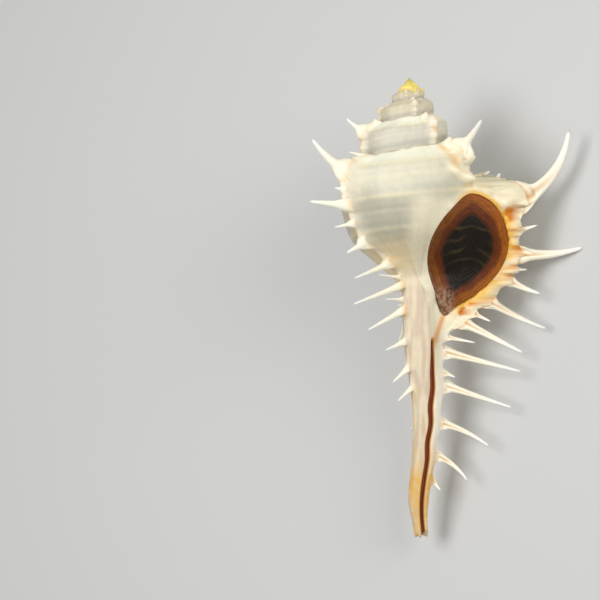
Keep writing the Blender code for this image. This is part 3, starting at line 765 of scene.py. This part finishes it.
    def draw_out(self, loop, tip, bow, thickness, grooved):
        """Draws the loop of points out to the tip through rings that turn round and grow thin."""
        corners = np.array([self.points[n] for n in loop])
        base = corners.mean(axis=0)
        facts = np.mean([self.facts[n] for n in loop], axis=0)
        chord = tip - base
        length = np.linalg.norm(chord)
        chord = chord / length
        down = np.array((0.0, -1.0, 0.0))
        sag = down - chord * (down @ chord)
        sag = sag / np.linalg.norm(sag)
        side = np.cross(chord, sag)
        bend = (base + tip) / 2 + 2 * bow * sag
        flare = min(ROUND_BY, ROUND_SOONER * thickness / length)
        rings = int(np.clip(length / RING_SPACING, *RING_RANGE))
        before = list(loop)
        for step in range(1, rings):
            share = (step / rings) ** RING_CROWDING
            centre = (1 - share) ** 2 * base + 2 * share * (1 - share) * bend + share ** 2 * tip
            tangent = (1 - share) * (bend - base) + share * (tip - bend)
            tangent = tangent / np.linalg.norm(tangent)
            across = np.cross(side, tangent)
            taper = SPINE_TIP + (1 - SPINE_TIP) * (1 - share) ** SPINE_TAPER
            radius = 0.5 * thickness * taper * (1 + SPINE_ROOT * math.exp(-share * ROOT_FADE))
            turned = float(ease(share / flare))
            out = corners - base
            flat = out - np.outer(out @ tangent, tangent)
            heading = np.arctan2(flat @ side, flat @ across)
            turn = heading[:, None]
            circle = np.cos(turn) * across + np.sin(turn) * side
            facing = circle[:, 2] - circle[:, 2].max()
            groove = SPINE_GROOVE * hump(facing, 0, SPINE_GROOVE_WIDTH) * (1 - share) * grooved
            size = radius * (1 - groove)[:, None]
            ring = centre + (1 - turned) * SPINE_FOOT * out + turned * size * circle
            indices = []
            for place, depth_of_groove in zip(ring, groove):
                on_spine = facts.copy()
                on_spine[ON_SPINE] = max(share, 0.02)
                on_spine[GROOVE] = depth_of_groove * 1.6
                indices.append(self.add(place, on_spine))
            self.faces += band(before, indices)
            before = indices
        on_spine = facts.copy()
        on_spine[ON_SPINE] = 1.0
        self.faces += fan(before, self.add(tip, on_spine))


class Coat:
    """The colour of each point, in linear light, as one colour after another is blended over it."""

    def __init__(self, colour, count):
        self.colour = np.tile(tint(colour), (count, 1))

    def blend(self, target, amount):
        self.lay(tint(target), amount)

    def lay(self, colour, amount):
        amount = np.clip(amount, 0.0, 1.0)[:, None]
        self.colour = self.colour * (1 - amount) + colour * amount


def paint_windings(at):
    """The pale shoulder with a painted highlight, greyer middle and warm base of a winding, its cords and the
    older windings.
    """
    angle, share, large = at.angle, at.share, at.large
    # Painted highlight: the top of each winding faces the light above, so it is painted lighter than its pale
    # band alone.
    yield SHOULDER_AND_HIGHLIGHT, fall(share, 0.125, 0.03)
    yield MIDDLE_BAND, rise(share - 0.1 * large, 0.24, 0.26) * 0.85
    yield LILAC, rise(share, 0.40, 0.12) * fall(share, 0.66, 0.1) * (0.5 + 0.9 * large)
    yield LOWER_BAND, rise(share, 0.62, 0.2) * (0.85 + 0.3 * large)
    yield PALE_GREY, fall(angle, -360, 40) * 0.75 * rise(share, 0.1, 0.04)
    newest = rise(angle, -112, 20) * (angle > -RIB_SPACING)
    yield CANAL_SHADE, newest * (0.4 + 0.3 * large) * rise(share, 0.12, 0.05) * (share < 1.1)
    cord = np.zeros_like(share)
    for middle, height in CORDS:
        cord = cord + height / HIGHEST_CORD * hump(share, middle, 1.5 * CORD_HALF_WIDTH)
    yield CORD_COLOUR, cord * (0.42 + 0.3 * large) * fall(share, 1.05, 0.2)
    yield SPIRE_COLOUR, fall(angle, -640, 200) * 0.8
    yield LILAC, fall(angle, -360, 60) * hump(share, 0.36, 0.05) * 0.8


def paint_canal(at):
    """The streaks of the canal, its white walls beside the slit and the stains where it leaves the body."""
    angle, share, large, small = at.angle, at.share, at.large, at.small
    yield CANAL_COLOUR, rise(share, 0.82, 0.25) * (0.9 + 0.2 * large)
    on_canal = rise(share, 0.95, 0.2)
    yield CANAL_SHADE, on_canal * rise(at.streak, -0.2, 0.5) * 0.65
    streaked = rise(at.streak + 0.5 * large, 0.1, 0.5) * rise(small, -0.3, 0.7)
    yield CANAL_STREAK, on_canal * streaked * 0.5
    beside_slit = (angle < -312) | (angle > -25)
    yield CANAL_WALL, on_canal * beside_slit * (angle > -360) * 0.85
    patchy = rise(share, 0.66, 0.1) * fall(share, 1.25, 0.2) * rise(large + small, 0.25, 0.4)
    yield STAIN, patchy * 0.35 * (angle < -150)


def paint_ribs(at):
    """The pale ribs, stained at the roots of their spines and ochre beside them, and painted shade along the
    seam.
    """
    angle, depth, small = at.angle, at.depth, at.small
    for rib_angle, heights in LAST_RIBS:
        past = np.radians(angle - rib_angle) * 14.0
        below_top = depth > heights[0][0]
        beside = hump(past, 2.2, 1.8) * below_top * (rib_angle < 0)
        yield OCHRE, beside * (0.65 + 0.5 * small) * (depth < 62)
        at_root = rise(1 - lobes(rib_angle, depth), 0.45, 0.4)
        on_rib = hump(past, 0.3, 1.5) * below_top * (depth < 70)
        yield RIB_COLOUR, on_rib * 0.9
        yield STAIN, on_rib * at_root * (0.7 + 0.5 * small)
    on_old_rib = ease(at.rib / 0.8) * (angle < -337)
    yield RIB_COLOUR, on_old_rib * 0.8
    yield STAIN, on_old_rib * rise(small, 0.12, 0.25) * 0.6
    # Painted shade: a dark line along the seam, standing in for the thin shadow in the crease between
    # windings.
    yield SEAM_SHADE_COLOUR, hump(at.share, 0, 0.008) * (0.5 + 0.6 * small) * (angle < -8) * at.plain


def paint_lip(at):
    """The pale lip with its amber edge and orange patches, the inner lip and the furrow below the opening."""
    angle, depth, small = at.angle, at.depth, at.small
    lip = np.maximum(at.on_mouth, ease(1 + angle / 12) * (angle > -12)) * fall(depth, 52, 3) * at.plain
    yield LIP_COLOUR, lip * 0.9
    yield INNER_LIP, np.maximum(at.inner_lip, at.on_mouth * fall(at.x, 6.0, 3)) * 0.95
    yield LIP_COLOUR, ease(at.ridge * 2) * at.plain * 0.9
    on_lip = lip * (at.z > 0) * rise(at.x, 5.5, 2)
    rim = hump(at.outside, 0.2, 0.5 + 0.9 * rise(depth, 25, 4))
    yield LIP_GUTTER, on_lip * rim * (1.1 + 0.6 * small)
    patch = rise(at.groove, 0.02, 0.16) * hump(at.outside, 1.3, 1.7) * rise(depth, 24, 2)
    yield BLOTCH, on_lip * patch * (1.4 + 0.6 * small)
    furrow = hump(at.x, along(FURROW, depth), FURROW_WIDTH) * rise(depth, 46.5, 1) * fall(depth, 55, 3)
    yield BLOTCH, furrow * (at.z > 0) * at.plain * 0.75


def paint_spines(at):
    """The cream spines with white tips, stained roots and brown grooves, and painted shade in the gap at the
    longest one's root.
    """
    angle, depth, on_spine = at.angle, at.depth, at.on_spine
    is_spine = on_spine > 0
    yield SPINE_COLOUR, ease(on_spine / 0.1)
    yield STAIN, is_spine * hump(on_spine, 0.04, 0.07) * (0.3 + 0.5 * at.small) * fall(depth, 54, 6)
    yield TIP_COLOUR, rise(on_spine, 0.4, 0.5)
    yield GROOVE_COLOUR, is_spine * rise(at.groove, 0.3, 0.7) * fall(on_spine, 0.8, 0.5) * 0.8
    # Painted shade: a dark patch where the gap under the long spine's root lies in shadow.
    root_gap_shade = (angle > -1) * (depth > 24) * (depth < 27) * hump(on_spine, 0.09, 0.05)
    yield ROOT_GAP_SHADE_COLOUR, root_gap_shade * is_spine * rise(at.groove, 0.2, 0.4)


def paint_slit_and_ends(at):
    """The brown slit, the crease beside the rib above the mouth, the golden tip and the canal's end."""
    depth, small = at.depth, at.small
    yield CANAL_STREAK, np.clip(at.slit * 4, 0, 1) * 0.8
    yield SLIT_COLOUR, rise(at.slit, 0.25, 0.35)
    crease = hump(at.angle, -325, 6) * rise(depth, 13.5, 1) * fall(depth, 20, 3)
    yield STAIN, crease * (0.5 + 0.6 * small) * at.plain
    yield GOLD, fall(depth - 0.9 * small, 3.6, 1.6) * at.plain
    stained = rise(depth, 70, 12) * (0.65 + 0.9 * at.large + 0.5 * small)
    yield CANAL_STREAK, stained * at.plain * (at.slit < 0.2)


def paint(points, facts):
    """The colour of each point, in linear light, from what it is part of and where it lies."""
    at = SimpleNamespace(**dict(zip(FACTS, facts.T)))
    at.x, at.y, at.z = points.T
    at.large = grain(points, 0.16, 2.0)
    at.small = grain(points, 0.9, 5.0)
    fine = grain(points, 2.6, 11.0)
    at.streak = grain(np.stack([at.x * 1.1, at.y * 0.16, at.z * 1.1], axis=1), 1.0, 9.0)
    growth = growth_grain(at.angle, at.depth, 0.3, 0.06, 13.0)
    at.plain = at.on_spine <= 0
    coat = Coat(UPPER_BAND, len(points))
    for part in (paint_windings, paint_canal, paint_ribs, paint_lip, paint_spines, paint_slit_and_ends):
        for target, amount in part(at):
            coat.blend(target, amount)
    shade = 1 + 0.035 * at.small + 0.03 * fine + 0.04 * growth
    return np.clip(coat.colour * shade[:, None], 0.0, 0.96)


def face_height(x, depth):
    """Z of the face across the mouth at these X and depths."""
    x = np.asarray(x, float)
    depth = np.asarray(depth, float)
    ends = []
    for angle in (JUST_PAST_LIP, MOUTH_ANGLE - 360):
        radius = mouth_face(np.full_like(depth, angle), depth, 0.0)
        turn = math.radians(LIP_AZIMUTH + angle)
        ends.append((along(AXIS, depth) + radius * math.cos(turn), radius * math.sin(turn)))
    (lip_x, lip_z), (inner_x, inner_z) = ends
    return lip_z + (inner_z - lip_z) * (x - lip_x) / (inner_x - lip_x)


def inset(outline, gap):
    """The outline moved inward by the gap."""
    outline = np.array(outline)
    middle = outline.mean(axis=0)
    run = np.roll(outline, -1, axis=0) - np.roll(outline, 1, axis=0)
    normal = np.stack([-run[:, 1], run[:, 0]], axis=1)
    normal = normal / np.linalg.norm(normal, axis=1)[:, None]
    inward = np.sign(((middle - outline) * normal).sum(axis=1))
    return outline + gap * normal * inward[:, None]


def smooth_outline(outline, times):
    """The closed outline with this many points for each of its own, on a smooth curve through them."""
    outline = np.array(outline)
    smooth = []
    for n in range(len(outline)):
        a, b, c, d = (outline[(n + k) % len(outline)] for k in (-1, 0, 1, 2))
        for step in range(times):
            u = step / times
            square = (2 * a - 5 * b + 4 * c - d) * u ** 2
            cube = (3 * b - a - 3 * c + d) * u ** 3
            smooth.append(0.5 * (2 * b + (c - a) * u + square + cube))
    return np.array(smooth)


def object_of(name, points, faces):
    """An object of these points and faces, with its faces turned outward."""
    mesh = bpy.data.meshes.new(name)
    mesh.from_pydata([tuple(point) for point in np.asarray(points) * METRES], [], faces)
    shape = bmesh.new()
    shape.from_mesh(mesh)
    bmesh.ops.triangulate(shape, faces=shape.faces[:])
    bmesh.ops.recalc_face_normals(shape, faces=shape.faces[:])
    shape.to_mesh(mesh)
    shape.free()
    return in_scene(name, mesh)


def make_mouth_cutter():
    """The space behind the opening: straight down from above, then narrower to its floor."""
    outline = smooth_outline(MOUTH, 10)
    middle = outline.mean(axis=0)
    under_lid = face_height(outline[:, 0], outline[:, 1]) - LID_SINK - LID_THICKNESS - CLEAR_OF_LID
    levels = (
        (1.0, np.full(len(outline), MOUTH_ABOVE)),
        (1.0, under_lid),
        (MOUTH_NARROW, under_lid - STEP_DOWN),
        (MOUTH_TAPER, np.full(len(outline), MOUTH_FLOOR)),
    )
    points = []
    for scale, heights in levels:
        ring = middle + (outline - middle) * scale
        points += [(x, -depth, height) for (x, depth), height in zip(ring, heights)]
    rings = rings_of(0, len(outline), len(levels))
    faces = [list(rings[0]), list(rings[-1])[::-1]]
    for above, below in zip(rings, rings[1:]):
        faces += band(above, below)
    return object_of("mouth cutter", points, faces)


def set_colour(thing, colours):
    layer = thing.data.color_attributes.new("coat", "FLOAT_COLOR", "POINT")
    rgba = np.ones((len(colours), 4))
    rgba[:, :3] = colours
    layer.data.foreach_set("color", rgba.ravel())


def smooth_shaded(thing):
    thing.data.polygons.foreach_set("use_smooth", [True] * len(thing.data.polygons))


def make_shell():
    strip = Strip()
    for rib_angle, spine in SPINES:
        strip.grow_spine(rib_angle, spine)
    points = np.array(strip.points)
    facts = np.array(strip.facts)
    plain = object_of("plain shell", points, list(strip.blocks.values()) + strip.faces)
    cutter = make_mouth_cutter()
    cut = plain.modifiers.new("mouth", "BOOLEAN")
    cut.operation = "DIFFERENCE"
    cut.solver = "EXACT"
    cut.object = cutter
    graph = bpy.context.evaluated_depsgraph_get()
    mesh = bpy.data.meshes.new_from_object(plain.evaluated_get(graph))
    shell = in_scene("murex_shell", mesh)
    bpy.data.objects.remove(plain)
    bpy.data.objects.remove(cutter)

    tree = KDTree(len(points))
    for n, point in enumerate(points):
        tree.insert(point, n)
    tree.balance()
    placed = np.array([vertex.co for vertex in mesh.vertices]) / METRES
    nearest = [tree.find(point)[1] for point in placed]
    facts = facts[nearest]
    set_colour(shell, paint(placed, facts))
    known = dict(zip(FACTS, facts.T))
    growth = mesh.attributes.new("growth", "FLOAT_VECTOR", "POINT")
    along_growth = [known["angle"], known["depth"], known["on_spine"]]
    growth.data.foreach_set("vector", np.stack(along_growth, axis=1).ravel())
    gloss = mesh.attributes.new("gloss", "FLOAT", "POINT")
    gloss.data.foreach_set("value", np.maximum(known["inner_lip"], 0.6 * known["on_mouth"]))
    smooth_shaded(shell)
    return shell


def make_lid():
    """The lid: a thin plate sunk behind the mouth face, with rings of growth round its middle."""
    outline = inset(smooth_outline(MOUTH, 12), LID_GAP)
    middle = np.array(LID_CENTRE)
    count = len(outline)
    shares = 1 - np.linspace(0.0, 1.0, LID_LOOPS, endpoint=False)
    points, colours = [], []
    for top in (True, False):
        for share in shares:
            flat = middle + (outline - middle) * share
            x, depth = flat[:, 0], flat[:, 1]
            height = face_height(x, depth) - LID_SINK - LID_BOWL * (1 - share ** 2)
            places = np.stack([x, -depth, np.zeros_like(x)], axis=1)
            wander = grain(places, 0.35, 4.0)
            rings = np.sin(2 * math.pi * (share ** 1.3 * LID_RINGS + 0.8 * wander))
            relief = LID_RING_HEIGHT * rings * min(1.0, (1 - share) * 12) + LID_WAVE_HEIGHT * wander
            height = height + (relief if top else -LID_THICKNESS)
            points.append(np.stack([x, -depth, height], axis=1))
            rough = grain(places, 1.6, 8.0)
            colours.append(lid_colour(share + 0.05 * wander, x, depth, rings, rough, wander))
        x, depth = middle
        height = float(face_height(x, depth)) - LID_SINK - LID_BOWL - (0.0 if top else LID_THICKNESS)
        points.append(np.array([(x, -depth, height)]))
        none = np.zeros(1)
        colours.append(lid_colour(none, np.array([x]), np.array([depth]), none, none, none))
    per_side = count * LID_LOOPS + 1
    faces = []
    for start in (0, per_side):
        loops = rings_of(start, count, LID_LOOPS)
        for outer, inner in zip(loops, loops[1:]):
            faces += band(outer, inner)
        faces += fan(loops[-1], start + per_side - 1)
    faces += band(range(count), range(per_side, per_side + count))
    lid = object_of("horny_lid", np.concatenate(points), faces)
    set_colour(lid, np.concatenate(colours))
    smooth_shaded(lid)
    return lid


def lid_colour(share, x, depth, rings, rough, wander):
    """Nearly black in the middle, red-brown round it, amber at the rim, with a grey dried end."""
    share = np.asarray(share, float)
    coat = Coat(LID_MIDDLE, len(share))
    arc = np.sin(np.hypot((x - 9.0) * 1.25, depth - 45.0) * 3.0 + 2.2 * wander + 0.3 * rough)
    coat.blend(LID_ARC, rise(arc, 0.3, 0.7) * fall(depth, 43, 6) * np.clip(0.3 + 1.1 * wander, 0, 0.8))
    coat.blend(LID_BROWN, rise(share, 0.56, 0.16))
    right = rise(x, 3.0, 12)
    amber = Coat(LID_LEFT_AMBER, len(share))
    amber.blend(LID_AMBER, right)
    coat.lay(amber.colour, rise(share - 0.04 * right, 0.74, 0.1))
    coat.colour = coat.colour * (1 + 0.16 * rings + 0.3 * rough)[:, None]
    end = rise(depth, 41.0, 2.5) * fall(x, 7.5, 2.5)
    left_edge = rise(share, 0.93, 0.05) * fall(x, 6.0, 3) * rise(depth, 30, 6) * 0.6
    coat.blend(LID_DRIED, np.maximum(end, left_edge) * rise(rough, -0.35, 0.6) * 0.9)
    return np.clip(coat.colour, 0.0, 1.0)


def new_material(name):
    material = bpy.data.materials.new(name)
    material.use_nodes = True
    nodes = material.node_tree.nodes
    return material, nodes, material.node_tree.links, nodes["Principled BSDF"]


def add_attribute(nodes, name):
    made = nodes.new("ShaderNodeAttribute")
    made.attribute_name = name
    return made.outputs


def add_noise(nodes, links, place, scale, detail):
    made = nodes.new("ShaderNodeTexNoise")
    made.inputs["Scale"].default_value = scale
    made.inputs["Detail"].default_value = detail
    links.new(place, made.inputs["Vector"])
    return made.outputs["Fac"]


def add_range(nodes, links, value, low, high):
    """The value, which runs from 0 to 1, as one that runs from low to high."""
    made = nodes.new("ShaderNodeMapRange")
    made.inputs["To Min"].default_value = low
    made.inputs["To Max"].default_value = high
    links.new(value, made.inputs["Value"])
    return made.outputs["Result"]


def add_bump(nodes, links, height, strength, distance):
    made = nodes.new("ShaderNodeBump")
    made.inputs["Strength"].default_value = strength
    made.inputs["Distance"].default_value = distance
    links.new(height, made.inputs["Height"])
    return made


def coat_colour(nodes, links, finish, scale, low, high):
    """The painted colour of the points, with a fine mottling of its lightness."""
    place = nodes.new("ShaderNodeTexCoord").outputs["Object"]
    mottle = add_noise(nodes, links, place, scale, 5.0)
    mix = nodes.new("ShaderNodeVectorMath")
    mix.operation = "SCALE"
    links.new(add_attribute(nodes, "coat")["Color"], mix.inputs[0])
    links.new(add_range(nodes, links, mottle, low, high), mix.inputs["Scale"])
    links.new(mix.outputs["Vector"], finish.inputs["Base Color"])
    return place


def shell_material():
    """Limy shell: satin, with fine growth lines and a chalky grain, and a glossy inner lip."""
    material, nodes, links, finish = new_material("shell")
    place = coat_colour(nodes, links, finish, 900.0, 0.93, 1.07)
    stretch = nodes.new("ShaderNodeMapping")
    stretch.inputs["Scale"].default_value = (1.2, 0.12, 3.0)
    links.new(add_attribute(nodes, "growth")["Vector"], stretch.inputs["Vector"])
    lines = add_noise(nodes, links, stretch.outputs["Vector"], 1.0, 4.0)
    chalk = add_noise(nodes, links, place, 2500.0, 3.0)
    line_bump = add_bump(nodes, links, lines, 0.35, 0.00012)
    chalk_bump = add_bump(nodes, links, chalk, 0.25, 0.00005)
    links.new(line_bump.outputs["Normal"], chalk_bump.inputs["Normal"])
    links.new(chalk_bump.outputs["Normal"], finish.inputs["Normal"])
    gloss = add_attribute(nodes, "gloss")["Fac"]
    links.new(add_range(nodes, links, gloss, 0.5, 0.26), finish.inputs["Roughness"])
    finish.inputs["Specular IOR Level"].default_value = 0.45
    finish.inputs["Subsurface Weight"].default_value = 0.06
    finish.inputs["Subsurface Radius"].default_value = (1.0, 0.85, 0.6)
    finish.inputs["Subsurface Scale"].default_value = 0.0008
    return material


def lid_material():
    """Horn: dark, waxy, with fine rings."""
    material, nodes, links, finish = new_material("horn")
    place = coat_colour(nodes, links, finish, 700.0, 0.75, 1.25)
    fine = add_noise(nodes, links, place, 1200.0, 5.0)
    bump = add_bump(nodes, links, fine, 0.4, 0.0001)
    links.new(bump.outputs["Normal"], finish.inputs["Normal"])
    finish.inputs["Roughness"].default_value = 0.5
    finish.inputs["Specular IOR Level"].default_value = 0.25
    return material


def resting_pose():
    """The turn that puts the three feet on the ground, and the shift to where the shell's solid lies."""
    feet = [Vector((spine[2], -spine[3], spine[4])) for spine in FEET]
    up = (feet[1] - feet[0]).cross(feet[2] - feet[0]).normalized()
    if up.z < 0:
        up = -up
    along_y = (Vector((0, 1, 0)) - up * up.y).normalized()
    across = along_y.cross(up)
    turn = Matrix((across, along_y, up)).to_4x4()
    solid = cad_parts["shell"].data
    furthest = max((vertex.co for vertex in solid.vertices), key=lambda place: place.x)
    shift = Matrix.Translation(furthest - (turn @ feet[2]) * METRES)
    return shift @ turn


def make_floor():
    shape = bmesh.new()
    bmesh.ops.create_grid(shape, x_segments=1, y_segments=1, size=3.0)
    mesh = bpy.data.meshes.new("floor")
    shape.to_mesh(mesh)
    shape.free()
    floor = in_scene("floor", mesh)
    material, _, _, finish = new_material("floor")
    finish.inputs["Base Color"].default_value = (0.62, 0.62, 0.61, 1.0)
    finish.inputs["Roughness"].default_value = 0.8
    mesh.materials.append(material)


def add_light(name, pose, place, target, size, power):
    """A soft square lamp at this place in the shell's frame, facing the target."""
    lamp = bpy.data.lights.new(name, "AREA")
    lamp.size = size
    lamp.energy = power
    light = in_scene(name, lamp)
    spot = pose @ (Vector(place) * METRES)
    aim = pose @ (Vector(target) * METRES)
    light.location = spot
    light.rotation_euler = (aim - spot).to_track_quat("-Z", "Y").to_euler()


# The light: the strength of the surroundings, and the lamps with their place, size in metres and watts.
WORLD_LIGHT = 0.34
LIT_POINT = (0.0, -40.0, 0.0)
LAMPS = (
    ("left lamp", (-330.0, 40.0, 270.0), 0.25, 1.15),
    ("right lamp", (190.0, 110.0, 440.0), 0.25, 1.15),
)

# The picture: pixels across, size of a pixel on the shell, and where the shell's frame lies in it.
PICTURE = 600
PIXEL = 0.2
FRAME_PIXEL_X = 420
FRAME_PIXEL_Y = 78
LENS = 135.0
SENSOR = 36.0


def add_camera(pose):
    """Looks squarely at the shell's front from far off, with the shell where the photo has it."""
    camera = bpy.data.cameras.new("camera")
    camera.lens = LENS
    camera.sensor_width = SENSOR
    camera.clip_start = 0.01
    camera.clip_end = 20.0
    holder = in_scene("camera", camera)
    distance = PICTURE * PIXEL * LENS / SENSOR
    x = (PICTURE / 2 - FRAME_PIXEL_X) * PIXEL
    y = -(PICTURE / 2 - FRAME_PIXEL_Y) * PIXEL
    turn = pose.to_3x3().to_4x4()
    spot = pose @ (Vector((x, y, distance)) * METRES)
    holder.matrix_world = Matrix.Translation(spot) @ turn
    bpy.context.scene.camera = holder


def main():
    pose = resting_pose()
    shell = make_shell()
    lid = make_lid()
    for piece, material, node, slot in (
        (shell, shell_material(), "shell", "shell"),
        (lid, lid_material(), "operculum", "horn"),
    ):
        piece.data.transform(pose)
        piece.data.materials.clear()
        piece.data.materials.append(material)
        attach(piece, "root")
        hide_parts(node)
    make_floor()
    world = bpy.data.worlds.new("studio")
    world.use_nodes = True
    sky = world.node_tree.nodes["Background"].inputs
    sky["Color"].default_value = (1.0, 1.0, 1.0, 1.0)
    sky["Strength"].default_value = WORLD_LIGHT
    bpy.context.scene.world = world
    bpy.context.scene.view_settings.view_transform = "Standard"
    for name, place, size, power in LAMPS:
        add_light(name, pose, place, LIT_POINT, size, power)
    add_camera(pose)


main()
